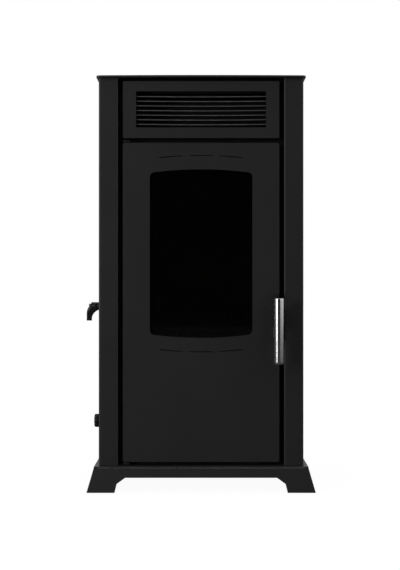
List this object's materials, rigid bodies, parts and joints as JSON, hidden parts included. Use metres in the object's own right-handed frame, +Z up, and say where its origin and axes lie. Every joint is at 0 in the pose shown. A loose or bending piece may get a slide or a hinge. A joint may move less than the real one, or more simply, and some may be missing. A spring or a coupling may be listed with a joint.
{
  "type": "wood burning stove",
  "caption": "Tall steel wood burning stove on a skirted base, with a glazed door, a slatted warm air outlet, an upright bar handle, side air controls and a rear flue collar",
  "frame": {"origin": "middle of the whole object in plan, at floor level", "axes": "+Z up, the door faces -Y, +X is to the right as seen from the front"},
  "size_m": [0.5595, 0.5435, 1],
  "materials": {
    "satin_black_paint": "satin heat resistant paint",
    "inner_black_paint": "matt heat resistant paint",
    "cast_iron": "as cast, sooted",
    "polished_steel": "polished",
    "plain_steel": "zinc plated, dulled",
    "fire_board": "pressed board, dusty",
    "ceramic_glass": "smooth",
    "rope_seal": "braided",
    "black_plastic": "moulded"
  },
  "bodies": {
    "casing": {"plinth_skirt": "satin_black_paint", "base_plate": "satin_black_paint", "left_side_panel": "satin_black_paint", "right_side_panel": "satin_black_paint", "rear_panel": "satin_black_paint", "top_plate": "satin_black_paint", "top_front_panel": "satin_black_paint", "flue_collar": "satin_black_paint", "outlet_slat_1": "satin_black_paint", "outlet_slat_2": "satin_black_paint", "outlet_slat_3": "satin_black_paint", "outlet_slat_4": "satin_black_paint", "outlet_slat_5": "satin_black_paint", "outlet_slat_6": "satin_black_paint", "outlet_slat_7": "satin_black_paint", "hinge_plate_lower": "inner_black_paint", "hinge_plate_upper": "inner_black_paint", "front_frame": "inner_black_paint", "outlet_cheek_left": "inner_black_paint", "outlet_cheek_right": "inner_black_paint", "firebox_shell": "inner_black_paint", "smoke_hood": "inner_black_paint", "ash_chamber": "inner_black_paint", "air_duct": "inner_black_paint", "air_register": "inner_black_paint", "fire_grate": "cast_iron", "log_guard": "cast_iron", "rear_heat_shield": "plain_steel", "drawer_runner_left": "plain_steel", "drawer_runner_right": "plain_steel", "latch_keeper": "plain_steel", "lining_board_left": "fire_board", "lining_board_right": "fire_board", "lining_board_rear": "fire_board", "hearth_board": "fire_board", "baffle_board": "fire_board"},
    "door": {"door_skin": "satin_black_paint", "glass_tape": "rope_seal", "door_glass": "ceramic_glass", "glass_retainer_lower": "plain_steel", "glass_retainer_upper": "plain_steel", "door_inner_frame": "inner_black_paint", "door_rope_seal": "rope_seal", "hinge_bush_lower": "inner_black_paint", "hinge_bush_upper": "inner_black_paint", "handle_pivot_pin": "inner_black_paint", "pivot_lug_lower": "inner_black_paint", "pivot_lug_upper": "inner_black_paint"},
    "door_handle": {"handle_bar": "polished_steel", "handle_arm": "black_plastic", "latch_hook": "plain_steel"},
    "ash_drawer": {"ash_pan": "plain_steel", "ash_pan_pull": "plain_steel"},
    "upper_air_control": {"air_lever": "black_plastic", "lever_shaft": "plain_steel", "air_flap": "plain_steel"},
    "lower_air_control": {"air_knob": "black_plastic", "air_disc": "plain_steel", "knob_spindle": "plain_steel"}
  },
  "joints": [
    {"name": "door_swing", "type": "hinge", "parent": "casing", "child": "door", "pos_m": [-0.1815, -0.211, 0.45], "axis": [0, 0, -1], "range_deg": [0, 110]},
    {"name": "handle_turn", "type": "hinge", "parent": "door", "child": "door_handle", "pos_m": [0.181, -0.233, 0.386], "axis": [0, 0, -1], "range_deg": [0, 16]},
    {"name": "ash_drawer_slide", "type": "slide", "parent": "casing", "child": "ash_drawer", "axis": [0, -1, 0], "range_m": [0, 0.16]},
    {"name": "upper_lever_turn", "type": "hinge", "parent": "casing", "child": "upper_air_control", "pos_m": [-0.247, -0.1, 0.4425], "axis": [1, 0, 0], "range_deg": [0, 90]},
    {"name": "lower_knob_turn", "type": "hinge", "parent": "casing", "child": "lower_air_control", "pos_m": [-0.247, -0.1, 0.156], "axis": [1, 0, 0], "range_deg": [0, 45]}
  ],
  "couplings": [
    {"joint": "ash_drawer_slide", "follows": "door_swing", "m_per_rad": 0.0833}
  ]
}
